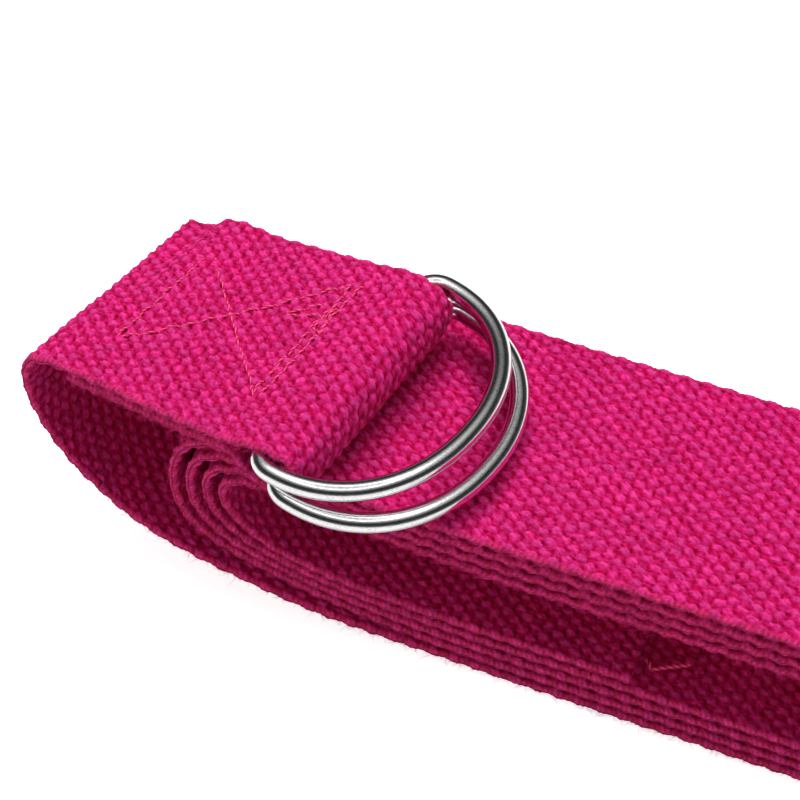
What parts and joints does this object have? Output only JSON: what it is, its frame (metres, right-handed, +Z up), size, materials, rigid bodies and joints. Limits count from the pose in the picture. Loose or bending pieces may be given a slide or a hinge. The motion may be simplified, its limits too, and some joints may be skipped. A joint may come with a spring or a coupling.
{
  "type": "stretching strap",
  "caption": "Woven cotton stretching strap rolled into a flattened coil, with a sewn loop end holding a pair of metal D-rings that cinch the free end.",
  "frame": {"origin": "on the floor plane under the middle of the coil, on the centre line of the webbing's width", "axes": "+X along the coil away from the bend of the ring end, +Y across the webbing away from the viewer's side, +Z up"},
  "size_m": [0.2256, 0.0488, 0.0396],
  "materials": {
    "webbing": "coarse plain-woven cotton, matt",
    "thread": "twisted sewing thread, matt",
    "ring_metal": "polished nickel plate with fine wear"
  },
  "bodies": {
    "coil": {"webbing_coil": "webbing", "tail_thread": "thread"},
    "ring_end": {"webbing_ring_end": "webbing", "loop_seam_needle_thread": "thread", "loop_seam_bobbin_thread": "thread"},
    "ring_lower": {"d_ring_lower": "ring_metal"},
    "ring_upper": {"d_ring_upper": "ring_metal"}
  },
  "joints": [
    {"name": "ring_end_lift", "type": "hinge", "parent": "coil", "child": "ring_end", "pos_m": [-0.11334, 0.00197, 0.03245], "axis": [-0.1908, -0.9816, 0], "range_deg": [0, 70]},
    {"name": "ring_pair_swing", "type": "hinge", "parent": "ring_end", "child": "ring_lower", "pos_m": [-0.07704, -0.00519, 0.03389], "axis": [-0.1908, -0.9816, 0], "range_deg": [0, 45]},
    {"name": "upper_ring_open", "type": "hinge", "parent": "ring_lower", "child": "ring_upper", "pos_m": [-0.07896, -0.00461, 0.03658], "axis": [-0.1908, -0.9816, 0], "range_deg": [0, 80]}
  ]
}
